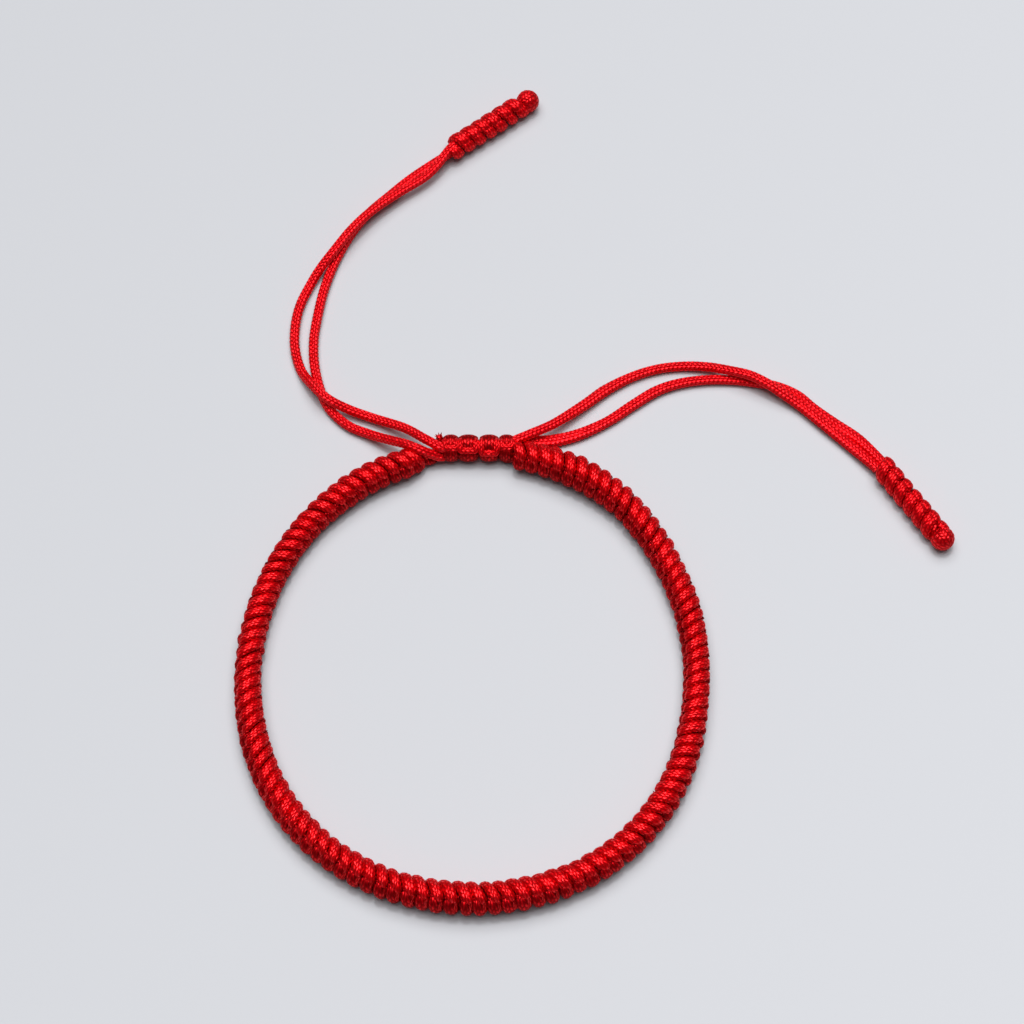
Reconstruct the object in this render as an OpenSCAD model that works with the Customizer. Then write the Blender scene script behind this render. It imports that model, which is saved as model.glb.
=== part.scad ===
// A bracelet of knotted cord that lies on a flat surface, in millimetres.
// +Z is up and the surface is z = 0. The sliding knot is at the back, on +Y.
// The origin is under the middle of the box round the wrist loop and the sliding knot.

/* [Wrist loop] */
// Mean radius of the band's centre line
loop_r = 33.3; // [32.5:0.1:34.5]
// How much the loop is longer from front to back than it is wide
loop_oval = 1.0; // [0:0.1:2]
// Three-cornered swelling of the loop, fuller at its back right
loop_egg = 0.3; // [0:0.1:0.6]
// Four-cornered swelling of the loop
loop_square = 0.2; // [0:0.1:0.4]
// Knots in the band
knot_count = 104; // [90:1:110]
// Diameter of the band over the crests of its knots
band_d = 4.1; // [3.6:0.1:4.4]
// Depth of the groove between two wraps of the band
band_groove = 0.4; // [0.1:0.05:0.5]
// How far a wrap leans along the band in half a turn, in knots
band_lean = 0.9; // [0.5:0.1:1]

/* [Sliding knot] */
// Length of the sliding knot along the band
slide_len = 10.4; // [9:0.1:12]
// Diameter of the sliding knot
slide_d = 4.1; // [3.8:0.1:4.4]
// Square knots in the sliding knot
slide_knots = 4; // [3:1:6]
// Depth of the groove between two square knots
slide_groove = 0.45; // [0.1:0.05:0.6]
// Length of the cut cord end beside the sliding knot
cut_len = 1.7; // [1:0.1:2.5]

/* [Tails and end knots] */
// Diameter of the cord
cord_d = 1.5; // [1.2:0.1:1.6]
// Diameter of an end knot over its turns
end_d = 3.7; // [3:0.1:4]
// Length of an end knot
end_len = 16.8; // [12:0.1:18]
// Turns in an end knot
end_turns = 7; // [5:1:9]
// Depth of the groove between two turns of an end knot
end_groove = 0.45; // [0.1:0.05:0.6]

/* [Hidden] */

cord_red = [0.82, 0.04, 0.08];

// Turn of the loop's three-cornered swelling, in degrees
egg_turn = 34;

// The loop's centre, and the sliding knot's centre a little to the right of it and outside the loop's back
loop_c = [0.2, -0.9];
slide_right = 0.5;
slide_out = 0.65;
slide_c = [loop_c[0] + slide_right, loop_c[1] + loop_radius(90) + slide_out, slide_d / 2];

// The band is thin where its two strands run into the sliding knot
neck_r = 0.95;
neck_gap = 0.3;
left_taper = 5.7;
left_taper_power = 1.8;
left_neck_out = 1.35;
right_taper = 1.8;
right_taper_power = 0.6;
right_neck_out = 0;
rings_per_knot = 4;
band_sides = 10;
// On the front and back of the loop, the upper column of wraps faces this many degrees towards the back
face_tilt = 42;

// Cord routes from the sliding knot's end faces. x and y are measured from the sliding knot's centre.
left_outer_route = [
    [-5.3, -0.5, 3.3], [-7.8, 1.0, 3.1], [-11.0, 3.3, 2.1], [-15.6, 5.3, 1.2], [-19.3, 6.6, 1.5],
    [-22.3, 7.8, 2.5], [-24.5, 10.0, 2.2], [-26.7, 13.4, 0.8], [-27.8, 17.1, 0.8], [-27.9, 21.0, 0.8],
    [-27.2, 24.8, 0.8], [-25.6, 28.5, 0.9], [-24.3, 30.6, 1.5], [-22.4, 33.0, 2.3], [-19.5, 37.1, 2.4],
    [-16.3, 40.6, 2.2], [-12.4, 43.8, 1.9], [-8.0, 47.0, 1.9], [-4.5, 51.3, 2.6]];
left_inner_route = [
    [-5.3, -1.3, 1.8], [-7.2, -1.3, 3.0], [-9.1, -0.8, 3.8], [-10.9, 0.1, 3.4], [-13.1, 1.2, 2.3],
    [-16.4, 2.8, 1.1], [-19.6, 4.4, 0.8], [-22.4, 7.2, 0.8], [-23.9, 10.6, 0.8], [-24.8, 14.6, 0.8],
    [-25.0, 18.7, 0.8], [-24.5, 23.0, 0.8], [-23.6, 27.6, 0.8], [-22.1, 32.2, 0.8], [-20.0, 36.6, 0.8],
    [-17.4, 40.4, 0.8], [-14.0, 43.8, 0.8], [-10.3, 47.2, 0.8], [-4.6, 51.4, 1.0]];
right_upper_route = [
    [5.3, 0.7, 3.0], [7.8, 1.9, 2.9], [11.4, 4.0, 2.1], [15.8, 7.4, 1.2], [19.3, 10.2, 0.9],
    [23.2, 12.4, 0.8], [27.0, 13.7, 0.8], [30.8, 14.2, 0.8], [34.6, 13.9, 1.2], [38.0, 12.8, 2.1],
    [40.9, 11.8, 2.5], [43.5, 10.4, 2.3], [45.9, 8.9, 1.6], [48.5, 7.1, 0.9], [51.9, 3.9, 0.8],
    [55.3, 0.8, 0.8], [58.8, -2.6, 1.3]];
right_lower_route = [
    [5.3, 1.1, 1.2], [8.1, 1.5, 1.0], [11.4, 1.8, 0.8], [15.3, 2.9, 0.8], [19.5, 5.0, 0.8],
    [23.3, 7.7, 0.8], [26.8, 10.0, 0.8], [30.3, 11.3, 0.8], [34.3, 11.9, 0.8], [38.3, 11.9, 0.8],
    [41.8, 11.5, 0.8], [45.1, 10.9, 0.8], [48.2, 9.5, 0.8], [50.6, 7.4, 0.8], [53.7, 5.0, 0.8],
    [57.1, 2.3, 0.8], [60.1, -1.7, 1.3]];
cord_sides = 8;

// Where each end knot starts, from the sliding knot's centre, and the way it points in degrees from +X
left_end_start = [-4.5, 51.4];
left_end_turn = 36.4;
right_end_start = [59.5, -2.3];
right_end_turn = -54.5;
end_sides = 12;
end_lean = 0.2;
rings_per_turn = 5;

// Height of the groove profile between two crests, 0 in the groove and 1 on a crest
function crest(phase) = abs(sin(180 * phase));
function wrapped(a) = a - 360 * floor((a + 180) / 360);

function mean(list) = [for (p = list) 1] * list / len(list);

// Closed skin over a list of rings, each of the same number of points, in the order that leaves the
// walls facing outwards when the rings turn clockwise as seen from the first ring's outside
module skin(rings) {
    n = len(rings[0]);
    last_ring = (len(rings) - 1) * n;
    first_tip = len(rings) * n;
    points = concat([for (r = rings) each r], [mean(rings[0]), mean(rings[len(rings) - 1])]);
    walls = [for (a = [0 : n : last_ring - n]) for (j = [0 : n - 1])
        let (k = (j + 1) % n)
        each [[a + j, a + n + j, a + k], [a + k, a + n + j, a + n + k]]];
    caps = [for (j = [0 : n - 1])
        let (k = (j + 1) % n)
        each [[first_tip, j, k], [first_tip + 1, last_ring + k, last_ring + j]]];
    polyhedron(points, concat(walls, caps));
}

// Ring of points in the upright plane through c that holds the level direction side
function ring(c, side, radii) = let (n = len(radii))
    [for (j = [0 : n - 1])
        let (a = 360 * j / n)
        c + radii[j] * (sin(a) * side + cos(a) * [0, 0, 1])];

// Radius of the loop's centre line at an angle from +X
function loop_radius(a) =
    loop_r - loop_oval * cos(2 * a) - loop_egg * sin(3 * a + egg_turn) - loop_square * cos(4 * a);

// The band runs clockwise, seen from above, from the right face of the sliding knot to the left one
function end_angle(x) = acos((x - loop_c[0]) / loop_radius(90));
band_start = end_angle(slide_c[0] + slide_len / 2 + neck_gap);
band_end = end_angle(slide_c[0] - slide_len / 2 - neck_gap) - 360;
ring_count = knot_count * rings_per_knot;

function band_angle(i) = band_start + (band_end - band_start) * i / ring_count;
// Fullness of the band, 0 at a neck and 1 where it has its whole diameter
function fullness(from_right, from_left) =
    min(pow(min(1, from_right / right_taper), right_taper_power),
        pow(min(1, from_left / left_taper), left_taper_power));
function arc(a, b) = abs(a - b) * PI / 180 * loop_r;

// Radius at the section angle a, where 0 is up and 90 is outwards, of the section that is k knots along
function band_radius(k, a, tilt, full) =
    let (u = wrapped(a - tilt))
    let (phase = abs(u) <= 90 ? k + band_lean * u / 180 : k + 0.5 + band_lean * wrapped(u - 180) / 180)
    neck_r + full * (band_d / 2 - band_groove * (1 - crest(phase)) - neck_r);

module knotted_band() {
    color(cord_red)
        skin([for (i = [0 : ring_count])
            let (a = band_angle(i))
            let (right = arc(a, band_start), left = arc(a, band_end))
            let (full = fullness(right, left))
            let (out = right_neck_out * pow(1 - min(1, right / right_taper), 2)
                     + left_neck_out * pow(1 - min(1, left / left_taper), 2))
            let (r = loop_radius(a) + out, lift = neck_r + full * (band_d / 2 - neck_r))
            ring([loop_c[0] + r * cos(a), loop_c[1] + r * sin(a), lift], [-cos(a), -sin(a), 0],
                 [for (j = [0 : band_sides - 1])
                     band_radius(i / rings_per_knot, -360 * j / band_sides, face_tilt * sin(a), full)])]);
}

// Straight sleeve of square knots with flat ends, four-lobed in section
slide_sides = 16;
rings_per_square = 6;
slide_lobes = 4;
slide_lobe = 0.1;
module sliding_knot() {
    steps = slide_knots * rings_per_square;
    color(cord_red)
        translate(slide_c)
            skin([for (i = [0 : steps])
                ring([slide_len * (i / steps - 0.5), 0, 0], [0, -1, 0],
                     [for (j = [0 : slide_sides - 1])
                         slide_d / 2 - slide_groove * (1 - crest(i / rings_per_square))
                         - slide_lobe * (1 - cos(slide_lobes * 360 * j / slide_sides)) / 2])]);
}

// Cut end of the sliding knot's own cord, which leans up and back beside its left face
cut_d = 1.3;
cut_foot = [-5.9, 1.2, 0.3];
cut_lean = [-30, -10, 0];
module cut_end() {
    color(cord_red)
        translate(slide_c + cut_foot)
            rotate(cut_lean)
                cylinder(d = cut_d, h = cut_len, $fn = 24);
}

// Cord along a route from one of the sliding knot's faces, with a section at each of its points. Its first
// section is parallel to that face, and its last one to the foot of an end knot that points to end_turn.
module cord(route, end_turn) {
    last = len(route) - 1;
    color(cord_red)
        translate([slide_c[0], slide_c[1], 0])
            skin([for (i = [0 : last])
                let (way = i == 0 ? [sign(route[0][0]), 0, 0]
                         : i == last ? [cos(end_turn), sin(end_turn), 0]
                         : route[i + 1] - route[i - 1])
                let (side = cross(way, [0, 0, 1]) / norm(cross(way, [0, 0, 1])))
                let (top = cross(side, way) / norm(way))
                [for (j = [0 : cord_sides - 1])
                    let (a = 360 * (j + 0.5) / cord_sides)
                    route[i] + cord_d / 2 * (sin(a) * side + cos(a) * top)]]);
}
module left_tail_outer() { cord(left_outer_route, left_end_turn); }
module left_tail_inner() { cord(left_inner_route, left_end_turn); }
module right_tail_upper() { cord(right_upper_route, right_end_turn); }
module right_tail_lower() { cord(right_lower_route, right_end_turn); }

// Radius of an end knot at a distance s from its start, with a flat foot and a round tip
function end_radius(s, a) =
    let (r = end_d / 2, tip = max(0, s - end_len + r) / r)
    let (phase = s / end_len * end_turns + end_lean * sin(a))
    sqrt(max(0.01, 1 - tip * tip)) * (r - end_groove * (1 - crest(phase)));

module end_knot(start, turn) {
    steps = end_turns * rings_per_turn;
    color(cord_red)
        translate([slide_c[0] + start[0], slide_c[1] + start[1], end_d / 2])
            rotate(turn)
                skin([for (i = [0 : steps])
                    let (s = end_len * i / steps)
                    ring([s, 0, 0], [0, -1, 0],
                         [for (j = [0 : end_sides - 1]) end_radius(s, 360 * j / end_sides)])]);
}
module left_end_knot() { end_knot(left_end_start, left_end_turn); }
module right_end_knot() { end_knot(right_end_start, right_end_turn); }

knotted_band();
sliding_knot();
cut_end();
left_tail_outer();
left_tail_inner();
left_end_knot();
right_tail_upper();
right_tail_lower();
right_end_knot();
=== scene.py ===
# Looks of a bracelet of knotted red cord, in metres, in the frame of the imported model.
import math

import bpy
import numpy as np
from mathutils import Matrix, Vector


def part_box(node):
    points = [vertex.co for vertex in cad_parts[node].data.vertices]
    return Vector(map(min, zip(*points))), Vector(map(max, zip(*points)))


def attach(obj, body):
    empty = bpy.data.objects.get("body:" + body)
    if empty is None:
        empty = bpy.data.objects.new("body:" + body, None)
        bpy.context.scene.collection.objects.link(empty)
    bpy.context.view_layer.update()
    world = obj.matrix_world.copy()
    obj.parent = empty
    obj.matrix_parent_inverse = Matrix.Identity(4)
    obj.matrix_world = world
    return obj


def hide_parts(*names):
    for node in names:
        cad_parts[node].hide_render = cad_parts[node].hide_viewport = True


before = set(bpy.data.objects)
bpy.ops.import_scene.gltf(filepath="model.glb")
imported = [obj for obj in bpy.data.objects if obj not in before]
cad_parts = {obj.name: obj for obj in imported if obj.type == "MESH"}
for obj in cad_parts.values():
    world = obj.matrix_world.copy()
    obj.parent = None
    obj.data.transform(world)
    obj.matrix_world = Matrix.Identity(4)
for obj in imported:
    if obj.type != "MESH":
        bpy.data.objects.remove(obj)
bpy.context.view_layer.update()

MM = 0.001
UP = np.array([0.0, 0.0, 1.0])
scene = bpy.context.scene

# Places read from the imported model
slide_low, slide_high = (np.array(corner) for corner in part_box("sliding_knot"))
SLIDE_C = (slide_low + slide_high) / 2
SLIDE_LEN = slide_high[0] - slide_low[0]

# The wrist loop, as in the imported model's source
LOOP_C = np.array([0.2, -0.9]) * MM
LOOP_R = 33.3 * MM
LOOP_OVAL = 1.0 * MM
LOOP_EGG = 0.3 * MM
LOOP_SQUARE = 0.2 * MM
EGG_TURN = math.radians(34)
KNOTS = 104
BAND_R = 2.2 * MM

# The band's shape: angle in degrees, share of its radius, and millimetres outward from the loop
BAND_SHAPE = np.array([
    (-236, 1.06, -0.10), (-224, 1.00, -0.05), (-205, 0.97, -0.02), (-180, 0.96, 0.00), (-164, 1.01, -0.10),
    (-140, 1.03, 0.06), (-116, 1.05, 0.07), (-92, 1.09, 0.07), (-80, 1.08, -0.04), (-56, 1.03, -0.05),
    (-32, 1.02, -0.02), (-8, 0.95, 0.06), (4, 0.95, 0.25), (16, 1.00, 0.25), (28, 1.00, 0.06),
    (40, 1.05, 0.12), (52, 1.12, 0.30), (64, 1.20, 0.15), (76, 1.08, 0.00)])

# The upper column of the band faces this way at the loop's angle a:
# mean + back * sin(a) + right * cos(a) + sides * cos(2a)
FACE_MEAN, FACE_BACK, FACE_RIGHT, FACE_SIDES = (math.radians(t) for t in (-3.3, 31, 10.5, 4.7))

# The band's thin ends, which run a little way into the sliding knot. The left one also swings outward.
NECK_R = 0.95 * MM
NECK_GAP = -0.3 * MM
LEFT_TAPER, LEFT_TAPER_POWER, LEFT_NECK_OUT = 5.7 * MM, 1.8, 1.35 * MM
RIGHT_TAPER, RIGHT_TAPER_POWER = 1.0 * MM, 0.5

# The cord and its braid of eight yarns
CORD_D = 1.5 * MM
BRAID_COLUMNS = 8
BRAID_PITCH = 0.68 * MM
BRAID_TILT = 0.45

# Cord routes, x and y from the sliding knot's centre and z above the surface
TAIL_ROUTES = {
    "left_tail_outer": [
        (-.0053, -.0005, .0033), (-.0078, .0010, .0031), (-.0110, .0033, .0021), (-.0156, .0053, .0012),
        (-.0193, .0066, .0015), (-.0223, .0078, .0025), (-.0245, .0100, .0022), (-.0267, .0134, .0008),
        (-.0278, .0171, .0008), (-.0279, .0210, .0008), (-.0272, .0248, .0008), (-.0256, .0285, .0009),
        (-.0243, .0306, .0015), (-.0224, .0330, .0023), (-.0195, .0371, .0024), (-.0163, .0406, .0022),
        (-.0124, .0438, .0019), (-.0080, .0470, .0019), (-.0045, .0513, .0026)],
    "left_tail_inner": [
        (-.0053, -.0013, .0018), (-.0072, -.0013, .0030), (-.0091, -.0008, .0038), (-.0109, .0001, .0034),
        (-.0131, .0012, .0023), (-.0164, .0028, .0011), (-.0196, .0044, .0008), (-.0224, .0072, .0008),
        (-.0239, .0106, .0008), (-.0248, .0146, .0008), (-.0250, .0187, .0008), (-.0245, .0230, .0008),
        (-.0236, .0276, .0008), (-.0221, .0322, .0008), (-.0200, .0366, .0008), (-.0174, .0404, .0008),
        (-.0140, .0438, .0008), (-.0103, .0472, .0008), (-.0046, .0514, .0010)],
    "right_tail_upper": [
        (.0053, .0007, .0030), (.0078, .0019, .0029), (.0114, .0040, .0021), (.0158, .0074, .0012),
        (.0193, .0102, .0009), (.0232, .0124, .0008), (.0270, .0137, .0008), (.0308, .0142, .0008),
        (.0346, .0139, .0012), (.0380, .0128, .0021), (.0409, .0118, .0025), (.0435, .0104, .0023),
        (.0459, .0089, .0016), (.0485, .0071, .0009), (.0519, .0039, .0008), (.0553, .0008, .0008),
        (.0588, -.0026, .0013)],
    "right_tail_lower": [
        (.0053, .0011, .0012), (.0081, .0015, .0010), (.0114, .0018, .0008), (.0153, .0029, .0008),
        (.0195, .0050, .0008), (.0233, .0077, .0008), (.0268, .0100, .0008), (.0303, .0113, .0008),
        (.0343, .0119, .0008), (.0383, .0119, .0008), (.0418, .0115, .0008), (.0451, .0109, .0008),
        (.0482, .0095, .0008), (.0506, .0074, .0008), (.0537, .0050, .0008), (.0571, .0023, .0008),
        (.0601, -.0017, .0013)],
}

# End knots: start from the sliding knot's centre, the way each one points, the way its first column faces,
# and for each column where its first wrap is, in wraps, and its count of wraps
END_LEN = 16.8 * MM
END_R = 1.9 * MM
END_FIRST_WRAP = 0.8 * MM
END_WRAP = 2.08 * MM
END_KNOTS = {
    "left_end_knot": {"start": (-.0045, .0514), "turn": math.radians(36.4), "face": math.radians(36),
                      "wraps": {"upper": (0.5, 6), "lower": (0.15, 7)}, "seed": 21},
    "right_end_knot": {"start": (.0595, -.0023), "turn": math.radians(-54.5), "face": math.radians(98),
                       "wraps": {"upper": (0.1, 7), "lower": (0.65, 6)}, "seed": 34},
}

# Camera at the photograph's angle
CAMERA_PLACE = (5.80 * MM, -134.88 * MM, 366.82 * MM)
CAMERA_PITCH = 66.5
CAMERA_LENS, CAMERA_SENSOR, CAMERA_NEAR = 95, 36, 0.01


def make_camera():
    data = bpy.data.cameras.new("camera")
    data.lens, data.sensor_width = CAMERA_LENS, CAMERA_SENSOR
    data.clip_start = CAMERA_NEAR
    camera = bpy.data.objects.new("camera", data)
    scene.collection.objects.link(camera)
    camera.location = CAMERA_PLACE
    camera.rotation_euler = (math.radians(90 - CAMERA_PITCH), 0, 0)
    scene.camera = camera


make_camera()


# Smooth curve through control rows, with a count of samples on each stretch between two rows
def smooth(rows, counts, closed=False):
    rows = np.asarray(rows, float)
    if closed:
        padded = np.vstack([rows[-1:], rows, rows[:2]])
    else:
        padded = np.vstack([2 * rows[0] - rows[1], rows, 2 * rows[-1] - rows[-2]])
    parts = []
    for k, count in enumerate(counts):
        t = (np.arange(count) / count)[:, None]
        p0, p1, p2, p3 = padded[k:k + 4]
        parts.append(0.5 * (2 * p1 + (p2 - p0) * t + (2 * p0 - 5 * p1 + 4 * p2 - p3) * t * t
                            + (3 * p1 - p0 - 3 * p2 + p3) * t ** 3))
    if not closed:
        parts.append(rows[-1:])
    return np.vstack(parts)


def unit(v):
    return v / np.linalg.norm(v, axis=-1, keepdims=True)


def direction(line, closed=False):
    if closed:
        return unit(np.roll(line, -1, axis=0) - np.roll(line, 1, axis=0))
    return unit(np.gradient(line, axis=0))


# Height of the braid's yarns, 0 between them and 1 on a crest, over columns round and pitches along
def braid(columns, pitches):
    column = np.floor(columns + 0.5)
    odd = np.mod(column, 2)
    across = columns - column
    along = pitches - 0.5 * odd - (1 - 2 * odd) * BRAID_TILT * across
    along = along - np.round(along)
    return np.cos(math.pi * across) * np.cos(math.pi * along)


# Faces, and the braid map of their corners, of a tube of rings
def tube_faces(rings, sides, along, columns, closed):
    spans = rings if closed else rings - 1
    ring, place = np.meshgrid(np.arange(spans), np.arange(sides), indexing="ij")
    near, far = ring * sides, (ring + 1) % rings * sides
    after = (place + 1) % sides
    walls = np.stack([near + place, near + after, far + after, far + place], -1).reshape(-1, 4)
    round_map = np.stack([place, place + 1, place + 1, place], -1) * columns / sides
    along_map = np.stack([along[ring], along[ring], along[ring + 1], along[ring + 1]], -1)
    corner_map = np.stack([round_map.ravel(), along_map.ravel()], -1)
    if closed:
        return walls.ravel(), np.full(len(walls), 4), corner_map
    edge = np.arange(sides)
    after = (edge + 1) % sides
    tip, last = rings * sides, (rings - 1) * sides
    first_cap = np.stack([np.full(sides, tip), after, edge], -1)
    last_cap = np.stack([np.full(sides, tip + 1), last + edge, last + after], -1)
    corners = np.concatenate([walls.ravel(), first_cap.ravel(), last_cap.ravel()])
    sizes = np.concatenate([np.full(len(walls), 4), np.full(2 * sides, 3)])
    return corners, sizes, np.concatenate([corner_map, np.zeros((6 * sides, 2))])


# Braided strand along a line. Its section reaches half_out along out and half_side to either side, and
# inner_share moves its corners from the inner side to the outer one.
RELIEF = 0.06 * MM
RELIEF_MOST = 0.2


def sweep(name, line, out, half_out, half_side, sides, material, relief=RELIEF, columns=BRAID_COLUMNS,
          closed=False, inner_share=0.0, offset=0.0):
    rings = len(line)
    way = direction(line, closed)
    side = unit(np.cross(way, out))
    out = np.cross(side, way)
    ends = np.vstack([line, line[:1]]) if closed else line
    steps = np.linalg.norm(np.diff(ends, axis=0), axis=1)
    along = np.concatenate([[0], np.cumsum(steps)]) / BRAID_PITCH + offset
    if closed:
        along = along * round(along[-1]) / along[-1]
    turn = 2 * math.pi * np.arange(sides) / sides
    angle = turn - inner_share * np.sin(turn)
    height = braid((turn * columns / (2 * math.pi))[None, :], along[:rings, None])
    depth = np.minimum(relief, RELIEF_MOST * np.minimum(half_out, half_side))
    reach = 1 - (depth / np.sqrt(half_out * half_side))[:, None] * (1 - height)
    reach_out = (reach * half_out[:, None] * np.cos(angle))[..., None]
    reach_side = (reach * half_side[:, None] * np.sin(angle))[..., None]
    walls = line[:, None] + reach_out * out[:, None] + reach_side * side[:, None]
    tips = [] if closed else [line[:1], line[-1:]]
    points = np.concatenate([walls.reshape(-1, 3), *tips])
    corners, sizes, corner_map = tube_faces(rings, sides, along, columns, closed)

    mesh = bpy.data.meshes.new(name)
    mesh.vertices.add(len(points))
    mesh.vertices.foreach_set("co", points.astype(np.float32).ravel())
    mesh.loops.add(len(corners))
    mesh.loops.foreach_set("vertex_index", corners.astype(np.int32))
    mesh.polygons.add(len(sizes))
    mesh.polygons.foreach_set("loop_start", (np.cumsum(sizes) - sizes).astype(np.int32))
    mesh.update(calc_edges=True)
    mesh.shade_smooth()
    mesh.uv_layers.new(name="braid").data.foreach_set("uv", corner_map.astype(np.float32).ravel())
    mesh.materials.append(material)
    piece = bpy.data.objects.new(name, mesh)
    scene.collection.objects.link(piece)
    return piece


def join(name, pieces):
    target = pieces[0]
    with bpy.context.temp_override(active_object=target, object=target, selected_objects=pieces,
                                   selected_editable_objects=pieces):
        bpy.ops.object.join()
    target.name = name
    target.data.name = name
    return target


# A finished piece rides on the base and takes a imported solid's place
def dress(piece, node):
    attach(piece, "root")
    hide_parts(node)


# Shader helpers
class Nodes:
    def __init__(self, material):
        material.use_nodes = True
        self.tree = material.node_tree
        self.shader = self.tree.nodes["Principled BSDF"]

    def add(self, kind, **settings):
        node = self.tree.nodes.new(kind)
        for key, value in settings.items():
            setattr(node, key, value)
        return node

    def link(self, output, socket):
        self.tree.links.new(output, socket)

    def math(self, operation, *values):
        node = self.add("ShaderNodeMath", operation=operation)
        for socket, value in zip(node.inputs, values):
            if isinstance(value, (int, float)):
                socket.default_value = value
            else:
                self.link(value, socket)
        return node.outputs[0]

    def clamp(self, value, least, most):
        return self.math("MINIMUM", self.math("MAXIMUM", value, least), most)

    def ramp(self, value, stops):
        node = self.add("ShaderNodeValToRGB")
        while len(node.color_ramp.elements) < len(stops):
            node.color_ramp.elements.new(0.5)
        for element, (place, colour) in zip(node.color_ramp.elements, stops):
            element.position, element.color = place, (*colour, 1)
        self.link(value, node.inputs["Fac"])
        return node.outputs["Color"]

    def scale(self, colour, factor):
        node = self.add("ShaderNodeVectorMath", operation="SCALE")
        if isinstance(colour, tuple):
            node.inputs[0].default_value = colour
        else:
            self.link(colour, node.inputs[0])
        self.link(factor, node.inputs["Scale"])
        return node.outputs["Vector"]


# Red braided cord with a satin gloss. Its colour holds painted light: a painted highlight on the yarn
# crests, no two alike, painted shade in the valleys between yarns, and slow random changes of tone. Painted
# shade also darkens the sides of its strands, where the grooves of a knot lie; the strands have the given
# count of columns of yarns.
YARN_LEAST, YARN_SPREAD, YARN_REPEAT = 0.55, 0.9, 4.0
PATCH_SCALE, PATCH_DETAIL, PATCH_SHARE = 420.0, 2.0, 0.5
SHADE_SHIFT = 0.3
SHADE_STOPS = (0.1, 0.45, 0.9)
MIDDLE_SHARE, CREST_HIGHLIGHT_SHARE = 0.9, 1.5
OPEN_SLOPE, OPEN_LEAST = 1.5, 0.1
BUMP_DEPTH = 0.07 * MM
CREST_SMOOTHER, VALLEY_ROUGHER = -0.15, 0.06
GLINT_LEVEL, GLINT_TINT = 0.3, (1.0, 0.35, 0.38, 1)
COAT_ROUGHNESS = 0.2


def cord_material(name, base, gloss, roughness=0.47, painted_valley_shade=0.55, groove_shade=0.0, strand_columns=BRAID_COLUMNS,
                  bump=0.9, coat=0.28):
    material = bpy.data.materials.new(name)
    nodes = Nodes(material)
    shader = nodes.shader.inputs
    split = nodes.add("ShaderNodeSeparateXYZ")
    nodes.link(nodes.add("ShaderNodeUVMap", uv_map="braid").outputs["UV"], split.inputs[0])
    columns, pitches = split.outputs["X"], split.outputs["Y"]
    column = nodes.math("FLOOR", nodes.math("ADD", columns, 0.5))
    odd = nodes.math("MODULO", column, 2.0)
    across = nodes.math("SUBTRACT", columns, column)
    way = nodes.math("MULTIPLY_ADD", odd, -2.0, 1.0)
    lean = nodes.math("MULTIPLY", nodes.math("MULTIPLY", way, BRAID_TILT), across)
    along = nodes.math("SUBTRACT", nodes.math("SUBTRACT", pitches, nodes.math("MULTIPLY", odd, 0.5)), lean)
    row = nodes.math("ROUND", along)
    local = nodes.math("SUBTRACT", along, row)
    crest = nodes.math("MULTIPLY", nodes.math("COSINE", nodes.math("MULTIPLY", across, math.pi)),
                       nodes.math("COSINE", nodes.math("MULTIPLY", local, math.pi)))

    yarn = nodes.add("ShaderNodeCombineXYZ")
    nodes.link(nodes.math("MODULO", column, YARN_REPEAT), yarn.inputs["X"])
    nodes.link(row, yarn.inputs["Y"])
    chance = nodes.add("ShaderNodeTexWhiteNoise", noise_dimensions="2D")
    nodes.link(yarn.outputs[0], chance.inputs["Vector"])
    crest = nodes.math("MULTIPLY", crest,
                       nodes.math("MULTIPLY_ADD", chance.outputs["Value"], YARN_SPREAD, YARN_LEAST))

    patches = nodes.add("ShaderNodeTexNoise")
    patches.inputs["Scale"].default_value = PATCH_SCALE
    patches.inputs["Detail"].default_value = PATCH_DETAIL
    nodes.link(nodes.add("ShaderNodeTexCoord").outputs["Object"], patches.inputs["Vector"])

    # Painted shade in the yarn valleys and painted highlight on the yarn crests: the ramp darkens the base
    # colour between yarns and brightens it on their crests
    shade = nodes.math("MULTIPLY_ADD", patches.outputs["Fac"], PATCH_SHARE,
                       nodes.math("SUBTRACT", crest, SHADE_SHIFT))
    reds = [tuple(min(1.0, share * c) for c in base) for share in (painted_valley_shade, MIDDLE_SHARE, CREST_HIGHLIGHT_SHARE)]
    colour = nodes.ramp(shade, list(zip(SHADE_STOPS, reds)))
    # Painted shade: the colour darkens towards the sides of each strand, where neighbouring strands meet in
    # a knot's grooves
    outward = nodes.math("COSINE", nodes.math("MULTIPLY", columns, 2 * math.pi / strand_columns))
    unshaded_share = nodes.clamp(nodes.math("MULTIPLY_ADD", outward, OPEN_SLOPE, OPEN_LEAST), 0.0, 1.0)
    groove_shade_factor = nodes.math("MULTIPLY_ADD", unshaded_share, groove_shade, 1 - groove_shade)
    nodes.link(nodes.scale(colour, groove_shade_factor), shader["Base Color"])

    relief = nodes.add("ShaderNodeBump")
    relief.inputs["Strength"].default_value = bump
    relief.inputs["Distance"].default_value = BUMP_DEPTH
    nodes.link(crest, relief.inputs["Height"])
    nodes.link(relief.outputs["Normal"], shader["Normal"])
    nodes.link(relief.outputs["Normal"], shader["Coat Normal"])
    nodes.link(nodes.math("MULTIPLY_ADD", crest, CREST_SMOOTHER, roughness + VALLEY_ROUGHER),
               shader["Roughness"])
    nodes.link(nodes.math("MULTIPLY", nodes.math("MAXIMUM", crest, 0.0), coat), shader["Coat Weight"])
    shader["Metallic"].default_value = gloss
    shader["Specular IOR Level"].default_value = GLINT_LEVEL
    shader["Specular Tint"].default_value = GLINT_TINT
    shader["Coat Roughness"].default_value = COAT_ROUGHNESS
    return material


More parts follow.
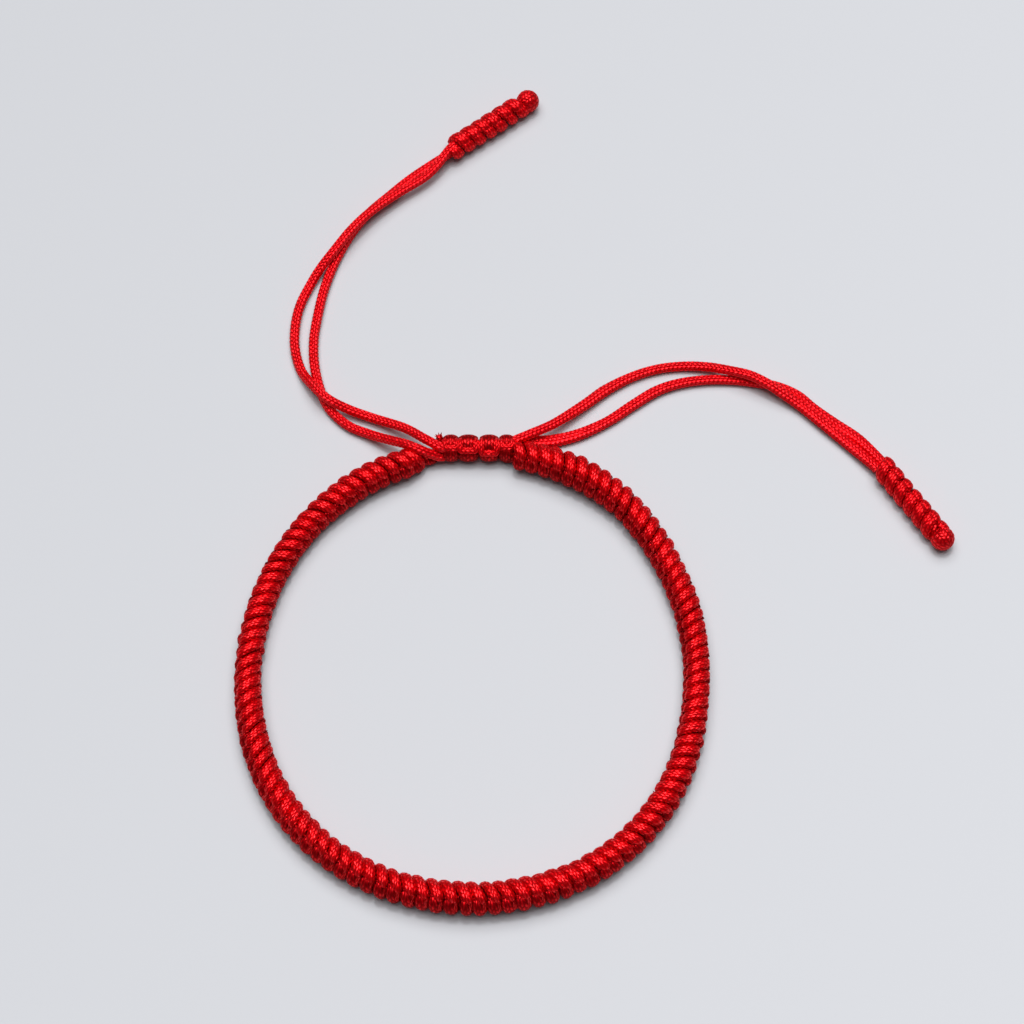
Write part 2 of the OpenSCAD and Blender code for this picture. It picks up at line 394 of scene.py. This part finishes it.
WRAP_COLUMNS = 12
upper_red = cord_material("band_upper", (0.96, 0.001, 0.005), 0.8, groove_shade=0.25, coat=0.5)
# Painted shade: the band's two strands are the same cord, and the lower column's copy has a darker base
# colour than the upper one's, with less coat and bump
shaded_lower_red = cord_material("band_lower_painted_shade", (0.46, 0.001, 0.004), 0.8, groove_shade=0.3, bump=0.6, coat=0.14)
# Painted shade: the sliding knot's wraps and core are the same cord as its loops, with a darker base colour
# than the loops and less coat and bump
shaded_wrap_red = cord_material("knot_wraps_painted_shade", (0.44, 0.001, 0.003), 0.8, groove_shade=0.3, strand_columns=WRAP_COLUMNS,
                         bump=0.6, coat=0.14)
loop_red = cord_material("knot_loops", (0.90, 0.001, 0.005), 0.68, groove_shade=0.2)
tail_red = cord_material("tails", (0.93, 0.001, 0.006), 0.6, roughness=0.36, painted_valley_shade=0.65)
end_red = cord_material("end_knots", (0.88, 0.001, 0.005), 0.7, groove_shade=0.2)

# Tails: braided cord along each route, from inside the sliding knot to inside its end knot
INSET = 0.9 * MM
INSET_SHARE = 0.4
TAIL_STEP = 0.16 * MM
TAIL_HALF = CORD_D / 2 + 0.02 * MM
TAIL_SIDES = 32
TAIL_RELIEF = 0.1 * MM
FLATTER_BY_WIDER = 0.4
# The right tails lie together as one flat ribbon before their end knot: how much wider each one is there,
# and how far it is pushed to the left of its way and up
RIBBON_WIDER, RIBBON_PLACE, RIBBON_REACH = 0.3, 10.5 * MM, 8.5 * MM
RIBBON_PUSH = {"right_tail_upper": (0.36 * MM, 0.3 * MM), "right_tail_lower": (-0.55 * MM, 0.0)}
# Near the sliding knot they are loose and flat: millimetres from the knot, and how much wider the cord is
LOOSE_WIDTH = {
    "right_tail_upper": ((0, 0.0), (6.5, 0.03), (12, 0.14), (16.5, 0.22), (21, 0.05), (25, 0.0)),
    "right_tail_lower": ((0, 0.25), (6, 0.40), (10, 0.25), (14.5, 0.08), (19, 0.14), (23, 0.15), (31, 0.0)),
}


def end_knot_of(node):
    return "left_end_knot" if node.startswith("left") else "right_end_knot"


def tail_line(route, end_turn):
    points = np.array(route) + [SLIDE_C[0], SLIDE_C[1], 0]
    axis = np.array([points[0][0] - math.copysign(INSET, route[0][0]), SLIDE_C[1], SLIDE_C[2]])
    into_slide = axis + (points[0] - axis) * [0, INSET_SHARE, INSET_SHARE]
    into_knot = points[-1] + INSET * np.array([math.cos(end_turn), math.sin(end_turn), 0])
    rows = np.vstack([into_slide, points, into_knot])
    gaps = np.linalg.norm(np.diff(rows, axis=0), axis=1)
    return smooth(rows, np.maximum(2, np.round(gaps / TAIL_STEP)).astype(int)), points[0]


def make_tail(node):
    line, exit_point = tail_line(TAIL_ROUTES[node], END_KNOTS[end_knot_of(node)]["turn"])
    wider = np.zeros(len(line))
    if node in RIBBON_PUSH:
        to_end = np.linalg.norm(line - line[-1], axis=1)
        from_slide = np.linalg.norm(line - exit_point, axis=1) / MM
        ribbon = np.exp(-((to_end - RIBBON_PLACE) / RIBBON_REACH) ** 2)
        left_push, up_push = RIBBON_PUSH[node]
        line = line + ribbon[:, None] * (left_push * unit(np.cross(UP, direction(line))) + up_push * UP)
        wider = RIBBON_WIDER * ribbon + np.interp(from_slide, *zip(*LOOSE_WIDTH[node]))
    upright = np.broadcast_to(UP, line.shape)
    tail = sweep(node + "_cord", line, upright, TAIL_HALF * (1 - FLATTER_BY_WIDER * wider),
                 TAIL_HALF * (1 + wider), TAIL_SIDES, tail_red, relief=TAIL_RELIEF)
    dress(tail, node)
    return tail, line, exit_point


tails = {node: make_tail(node) for node in TAIL_ROUTES}

# One strand of a knotted band of two strands. In section coordinates across and up, each wrap goes over the
# outside of its column and back through the middle to the next wrap. Sizes are shares of the band's radius
# and of the length of one knot. The wraps of the first column dive under those of the second one, whose
# ends lie between them. A column holds its half width in degrees, how far a wrap leans in half its width,
# and the wrap's half width.
BAND_COLUMNS = {"upper": {"half": 76, "lean": 0.58, "side": 0.46},
                "lower": {"half": 122, "lean": 0.42, "side": 0.46}}
WRAP_SHARES = (1, 0.76, 0.5, 0.25, 0, -0.25, -0.5, -0.76, -1)
RETURN_POINTS = ((-0.72, -0.33, 0.11), (-0.36, -0.27, 0.3), (0.0, -0.26, 0.5), (0.36, -0.27, 0.7),
                 (0.72, -0.33, 0.89))
WRAP_SAMPLES, RETURN_SAMPLES = 4, 1
STRAND_HALF_OUT = 0.32
HIDDEN_HALF_OUT, HIDDEN_HALF_SIDE = 0.17, 0.26
# Past this share of its half width a wrap dives, and grows thinner and narrower
DIVE_FROM, DIVE = 0.6, 0.16
DIVE_THINNER, DIVE_NARROWER = 0.15, 0.2
NARROWER_BY_LEAN = 0.6
# Random differences of the wraps in place, width, reach and lean
WRAP_SCATTER = (0.03, 0.05, 0.02, 0.035)
STRAND_INNER_SHARE = 0.3
BRAID_SHIFT = 0.4


def strand_rows(wraps, column, phase, seed, more_lean):
    draw = np.random.default_rng(seed)
    rows, counts = [], []
    half = math.radians(column["half"])
    for wrap in range(wraps):
        shift, swell, grow, slant = draw.normal(0, 1, 4) * WRAP_SCATTER
        place = wrap + phase + shift
        lean = column["lean"] + slant + more_lean(place)
        narrow = 1 - NARROWER_BY_LEAN * more_lean(place)
        for share in WRAP_SHARES:
            dive = max(0.0, abs(share) - DIVE_FROM) / (1 - DIVE_FROM)
            reach = (1 - STRAND_HALF_OUT) * (1 + grow) - DIVE * dive ** 2
            x, y = reach * math.sin(share * half), reach * math.cos(share * half)
            rows.append((x, y, place - lean * share, STRAND_HALF_OUT * (1 - DIVE_THINNER * dive),
                         column["side"] * narrow * (1 + swell) * (1 - DIVE_NARROWER * dive)))
        for x, y, share in RETURN_POINTS:
            rows.append((x, y, place + lean + share * (1 - 2 * lean), HIDDEN_HALF_OUT, HIDDEN_HALF_SIDE))
        counts += [WRAP_SAMPLES] * (len(WRAP_SHARES) - 1) + [RETURN_SAMPLES] * (len(RETURN_POINTS) + 1)
    spare = len(RETURN_POINTS) - 2
    return np.array(rows[:-spare]), counts[:-spare - 1]


# Knotted strand round an axis. place(k) gives, for places k in knots, the centre, the across and up axes of
# the section, its outer radius and the length of one knot.
def knotted_strand(name, place, wraps, column, phase, seed, sides, material, flip, more_lean=lambda k: 0.0):
    fine = smooth(*strand_rows(wraps, column, phase, seed, more_lean))
    centre, across, up, radius, knot = place(fine[:, 2])
    x, y = flip * radius * fine[:, 0], flip * radius * fine[:, 1]
    line = centre + x[:, None] * across + y[:, None] * up
    out = unit(np.gradient(y)[:, None] * across - np.gradient(x)[:, None] * up)
    return sweep(name, line, out, fine[:, 3] * radius, fine[:, 4] * knot, sides, material,
                 inner_share=STRAND_INNER_SHARE, offset=BRAID_SHIFT * phase)


# Core that fills the middle of a knotted band, and is all of it at a neck
CORE_R = 1.0 * MM
CORE_SIDES = 16
CORE_RINGS_A_KNOT = 3


def core(place, first, last, material):
    spans = round(CORE_RINGS_A_KNOT * (last - first))
    centre, _, up, radius, _ = place(np.linspace(first, last, spans + 1))
    thick = np.minimum(radius, CORE_R)
    return sweep("core", centre, up, thick, thick, CORE_SIDES, material)


# Band
BAND_SIDES = 24
# Column, place of its first wrap in knots, seed, side of the band's middle, and material
BAND_STRANDS = (("upper", 0.5, 5, 1, upper_red), ("lower", 1.0, 8, -1, shaded_lower_red))
CORE_PAST_END = 0.5
# The wraps lean more at the loop's left
LEFT_LEAN = 0.15


def loop_radius(a):
    return (LOOP_R - LOOP_OVAL * np.cos(2 * a) - LOOP_EGG * np.sin(3 * a + EGG_TURN)
            - LOOP_SQUARE * np.cos(4 * a))


def end_angle(x):
    return math.acos((x - LOOP_C[0]) / loop_radius(math.pi / 2))


BAND_START = end_angle(SLIDE_C[0] + SLIDE_LEN / 2 + NECK_GAP)
BAND_END = end_angle(SLIDE_C[0] - SLIDE_LEN / 2 - NECK_GAP) - 2 * math.pi


def band_angle(k):
    return BAND_START + (BAND_END - BAND_START) * k / KNOTS


def band_lean(k):
    return LEFT_LEAN * max(0.0, -math.cos(band_angle(k))) ** 2


def band_place(k):
    a = band_angle(k)
    right = np.clip((BAND_START - a) * LOOP_R / RIGHT_TAPER, 0, 1)
    left = np.clip((a - BAND_END) * LOOP_R / LEFT_TAPER, 0, 1)
    full = np.minimum(right ** RIGHT_TAPER_POWER, left ** LEFT_TAPER_POWER)
    angles, radius_shares, shifts = BAND_SHAPE.T
    degrees = np.degrees(a)
    body = BAND_R * np.interp(degrees, angles, radius_shares)
    radius = NECK_R + full * (body - NECK_R)
    r = loop_radius(a) + MM * np.interp(degrees, angles, shifts) + LEFT_NECK_OUT * (1 - left) ** 2
    outward = np.stack([np.cos(a), np.sin(a), np.zeros_like(a)], -1)
    centre = np.array([*LOOP_C, 0]) + r[:, None] * outward + radius[:, None] * UP
    tilt = FACE_MEAN + FACE_BACK * np.sin(a) + FACE_RIGHT * np.cos(a) + FACE_SIDES * np.cos(2 * a)
    tilt = tilt[:, None]
    across = np.cos(tilt) * outward - np.sin(tilt) * UP
    up = np.sin(tilt) * outward + np.cos(tilt) * UP
    return centre, across, up, radius, (BAND_START - BAND_END) * r / KNOTS


for column, phase, seed, flip, red in BAND_STRANDS:
    name = "band_" + column + "_strand"
    strand = knotted_strand(name, band_place, KNOTS - 1, BAND_COLUMNS[column], phase, seed, BAND_SIDES, red,
                            flip, band_lean)
    if column == "lower":
        strand = join(name, [strand, core(band_place, -CORE_PAST_END, KNOTS + CORE_PAST_END, red)])
    dress(strand, "knotted_band")

# Sliding knot: square knots on a core. Each one is a wrap round the knot with two loops of the other strand
# over it, on opposite sides. Angles round the axis are 0 at the top and 90 degrees towards the back. Each
# row holds, in millimetres and degrees, a knot's place, its half length, and the angle and half length of
# the straight bar of its loops.
SLIDE_R = 2.05 * MM
SQUARES = ((-4.0, 1.2, -25, 0.85), (-1.4, 1.52, -38, 1.2), (1.7, 1.46, -52, 1.15), (4.3, 1.18, -20, 0.8))
SLIDE_SIDES = 24
WRAP_SIDES = 36
WRAP_RINGS = 96
WRAP_PLACE, WRAP_HALF_OUT, WRAP_RELIEF = 0.69, 0.31, 0.03 * MM
# Under the loops a wrap lies deeper and is shorter
DIP, DIP_SHORTER = 0.14, 0.15
DIP_REACH = math.radians(48)
DIP_FROM_BAR = 14
# A loop's legs run from its bar to these angles, where they dive and pass under the next side
LEG, LOOP_DIVE, LOOP_UNDER = (math.radians(t) for t in (2, 22, 42))
KNEE_SHARE = 0.35
LOOP_HALF_OUT, LOOP_HALF_SIDE = 0.46 * MM, 0.58 * MM
LOOP_SAMPLES = 9
SLIDE_CORE_INSET, SLIDE_CORE_R, SLIDE_CORE_RINGS = 0.4 * MM, 0.6 * SLIDE_R, 40


def round_axis(x, angle, radius):
    y, z = SLIDE_C[1] + radius * np.sin(angle), SLIDE_R + radius * np.cos(angle)
    return np.stack([SLIDE_C[0] + x, y, z], -1)


def radial(angle):
    return np.stack([np.zeros_like(angle), np.sin(angle), np.cos(angle)], -1)


# Share of the dip under the loops, which lie over two opposite sides of a wrap
def under_loop(angle, middle):
    away = np.mod(angle - middle + math.pi / 2, math.pi) - math.pi / 2
    return 0.5 + 0.5 * np.cos(np.clip(away / DIP_REACH, -1, 1) * math.pi)


def square_wrap(x, half_length, middle):
    angle = np.linspace(0, 2 * math.pi, WRAP_RINGS, endpoint=False)
    dip = under_loop(angle, middle)
    line = round_axis(np.full(WRAP_RINGS, x), angle, SLIDE_R * (WRAP_PLACE - DIP * dip))
    half_out = np.full(WRAP_RINGS, WRAP_HALF_OUT * SLIDE_R)
    return sweep("wrap", line, radial(angle), half_out, half_length * (1 - DIP_SHORTER * dip), WRAP_SIDES,
                 shaded_wrap_red, relief=WRAP_RELIEF, columns=WRAP_COLUMNS, closed=True,
                 inner_share=STRAND_INNER_SHARE)


# The loop's rows hold a share of the bar's half length, an angle, and a share of the knot's radius
def square_loop(x, bar_half, bar, turn):
    knee = bar + KNEE_SHARE * (LEG - bar)
    half = [(0.75, bar, .82), (1.0, knee, .84), (0.95, LEG, .84), (0.85, LOOP_DIVE, .70),
            (0.4, LOOP_UNDER, .45)]
    rows = [(0, bar, .82)] + half + [(-share, angle, reach) for share, angle, reach in reversed(half)]
    fine = smooth(rows, [LOOP_SAMPLES] * len(rows), closed=True)
    angle = fine[:, 1] + turn
    line = round_axis(x + fine[:, 0] * bar_half, angle, SLIDE_R * fine[:, 2])
    half_out, half_side = np.full(len(line), LOOP_HALF_OUT), np.full(len(line), LOOP_HALF_SIDE)
    return sweep("loop", line, radial(angle), half_out, half_side, SLIDE_SIDES, loop_red, closed=True)


def slide_core():
    end = SLIDE_LEN / 2 - SLIDE_CORE_INSET
    line = round_axis(np.linspace(-end, end, SLIDE_CORE_RINGS), np.zeros(SLIDE_CORE_RINGS), 0)
    thick = np.full(SLIDE_CORE_RINGS, SLIDE_CORE_R)
    return sweep("core", line, np.broadcast_to(UP, line.shape), thick, thick, SLIDE_SIDES, shaded_wrap_red)


wraps, loops = [], []
for x, half_length, bar, bar_half in SQUARES:
    half_lengths = np.full(WRAP_RINGS, half_length * MM)
    wraps.append(square_wrap(x * MM, half_lengths, math.radians(bar + DIP_FROM_BAR)))
    for turn in (0, math.pi):
        loops.append(square_loop(x * MM, bar_half * MM, math.radians(bar), turn))
wraps.append(slide_core())
for name, strands in (("wraps", wraps), ("loops", loops)):
    dress(join("sliding_knot_" + name, strands), "sliding_knot")

# Cut end: a short stub that frays into a few tufts
CUT_FOOT = np.array([-5.6, 1.0, 2.0]) * MM
CUT_TIP = np.array([-5.75, 1.6, 2.9]) * MM
STUB_FOOT_R, STUB_TIP_R = 0.62, 0.5
STUB_RINGS, STUB_SIDES = 12, 20
TUFTS, TUFT_SEED = 9, 12
TUFT_RINGS, TUFT_SIDES = 10, 8
TUFT_JITTER = 0.3
TUFT_REACH, TUFT_BEND = (0.4, 0.85), (0.1, 0.5)
TUFT_DEPTH, TUFT_OUT = 0.3 * MM, 0.28 * MM
TUFT_R, TUFT_TAPER = 0.2 * MM, 0.85


def make_cut_end():
    base = np.array([SLIDE_C[0], SLIDE_C[1], 0])
    foot, tip = base + CUT_FOOT, base + CUT_TIP
    way = unit(tip - foot)
    side = unit(np.cross(way, UP))
    stub = foot + np.linspace(0, 1, STUB_RINGS)[:, None] * (tip - foot)
    radius = np.linspace(STUB_FOOT_R, STUB_TIP_R, STUB_RINGS) * MM
    strands = [sweep("stub", stub, np.broadcast_to(side, stub.shape), radius, radius, STUB_SIDES, loop_red)]
    draw = np.random.default_rng(TUFT_SEED)
    t = np.linspace(0, 1, TUFT_RINGS)[:, None]
    thin = TUFT_R * (1 - TUFT_TAPER * t[:, 0])
    for k in range(TUFTS):
        angle = 2 * math.pi * (k + draw.uniform(-TUFT_JITTER, TUFT_JITTER)) / TUFTS
        spread = math.cos(angle) * side + math.sin(angle) * np.cross(way, side)
        reach = draw.uniform(*TUFT_REACH) * MM
        start = tip - TUFT_DEPTH * way + TUFT_OUT * spread
        line = start + t * reach * way + t * t * draw.uniform(*TUFT_BEND) * MM * spread
        out = np.broadcast_to(side, line.shape)
        strands.append(sweep("tuft", line, out, thin, thin, TUFT_SIDES, loop_red))
    return join("cut_end_cord", strands)


dress(make_cut_end(), "cut_end")

# End knots: two knotted strands on a core that close in a round tip
END_COLUMNS = {"upper": {"half": 84, "lean": 0.32, "side": 0.53},
               "lower": {"half": 114, "lean": 0.5, "side": 0.48}}
END_SIDES = 28
END_CORE_WRAPS = 6.3
BALL_R = 1.8 * MM
BALL_COLUMNS = 16
BALL_RINGS = 40
BALL_FROM, BALL_TO = math.radians(176), math.radians(4)


def end_axes(knot):
    way = np.array([math.cos(knot["turn"]), math.sin(knot["turn"]), 0])
    left = np.array([-way[1], way[0], 0])
    across = math.cos(knot["face"]) * left - math.sin(knot["face"]) * UP
    up = math.sin(knot["face"]) * left + math.cos(knot["face"]) * UP
    foot = np.array([SLIDE_C[0] + knot["start"][0], SLIDE_C[1] + knot["start"][1], END_R])
    return foot, way, across, up


def end_place(knot):
    foot, way, across, up = end_axes(knot)

    def place(k):
        centre = foot + (END_FIRST_WRAP + k * END_WRAP)[:, None] * way
        ones = np.ones((len(k), 1))
        return centre, ones * across, ones * up, np.full(len(k), END_R), np.full(len(k), END_WRAP)
    return place


def round_tip(knot):
    foot, way, _, up = end_axes(knot)
    angle = np.linspace(BALL_FROM, BALL_TO, BALL_RINGS)
    line = foot + (END_LEN - BALL_R + BALL_R * np.cos(angle))[:, None] * way
    radius = BALL_R * np.sin(angle)
    return sweep("tip", line, np.broadcast_to(up, line.shape), radius, radius, 2 * BALL_COLUMNS, end_red,
                 columns=BALL_COLUMNS)


def make_end_knot(node, knot):
    strands = [round_tip(knot), core(end_place(knot), 0, END_CORE_WRAPS, end_red)]
    for (column, (phase, count)), flip in zip(knot["wraps"].items(), (1, -1)):
        strands.append(knotted_strand("strand", end_place(knot), count, END_COLUMNS[column], phase,
                                      knot["seed"] + count, END_SIDES, end_red, flip))
    piece = join(node + "_cord", strands)
    dress(piece, node)
    return piece


end_pieces = {node: make_end_knot(node, knot) for node, knot in END_KNOTS.items()}

# Floor, light and colour settings. The floor's colour holds a painted light gradient: it grows slightly
# paler towards the front and the right.
FLOOR_HALF = 1.5
FLOOR_TINT = (0.549, 0.559, 0.588)
FLOOR_MEAN, FLOOR_RIGHTWARD, FLOOR_BACKWARD = 1.02, 0.4, -0.41
FLOOR_LEAST, FLOOR_MOST = 0.94, 1.08
FLOOR_ROUGHNESS, FLOOR_GLINT = 0.9, 0.2
LIGHT_PLACE = (0.0, 0.60, 2.25)
LIGHT_AIM = (0, 0.02, 0)
# Name, diameter in metres and power in watts
LIGHTS = (("soft key", 2.6, 69), ("sparkle", 0.32, 11.5))
WORLD_COLOUR, WORLD_STRENGTH = (0.97, 0.98, 1.0, 1), 0.1


def make_floor():
    mesh = bpy.data.meshes.new("floor")
    corners = [(x * FLOOR_HALF, y * FLOOR_HALF, 0) for x, y in ((-1, -1), (1, -1), (1, 1), (-1, 1))]
    mesh.from_pydata(corners, [], [(0, 1, 2, 3)])
    floor = bpy.data.objects.new("floor", mesh)
    scene.collection.objects.link(floor)
    material = bpy.data.materials.new("pale_floor")
    nodes = Nodes(material)
    place = nodes.add("ShaderNodeSeparateXYZ")
    nodes.link(nodes.add("ShaderNodeTexCoord").outputs["Object"], place.inputs[0])
    # Painted light: the floor's colour grows paler towards the front and the right
    rightward = nodes.math("MULTIPLY_ADD", place.outputs["X"], FLOOR_RIGHTWARD, FLOOR_MEAN)
    painted_light_ramp = nodes.math("MULTIPLY_ADD", place.outputs["Y"], FLOOR_BACKWARD, rightward)
    tint = nodes.scale(FLOOR_TINT, nodes.clamp(painted_light_ramp, FLOOR_LEAST, FLOOR_MOST))
    nodes.link(tint, nodes.shader.inputs["Base Color"])
    nodes.shader.inputs["Roughness"].default_value = FLOOR_ROUGHNESS
    nodes.shader.inputs["Specular IOR Level"].default_value = FLOOR_GLINT
    mesh.materials.append(material)


def make_light(name, size, power):
    data = bpy.data.lights.new(name, "AREA")
    data.shape, data.size, data.energy = "DISK", size, power
    light = bpy.data.objects.new(name, data)
    scene.collection.objects.link(light)
    light.location = LIGHT_PLACE
    light.rotation_euler = (Vector(LIGHT_AIM) - Vector(LIGHT_PLACE)).to_track_quat("-Z", "Y").to_euler()


make_floor()
for name, size, power in LIGHTS:
    make_light(name, size, power)
world = bpy.data.worlds.new("world")
scene.world = world
world.use_nodes = True
background = world.node_tree.nodes["Background"].inputs
background["Color"].default_value = WORLD_COLOUR
background["Strength"].default_value = WORLD_STRENGTH
scene.view_settings.view_transform = "Standard"
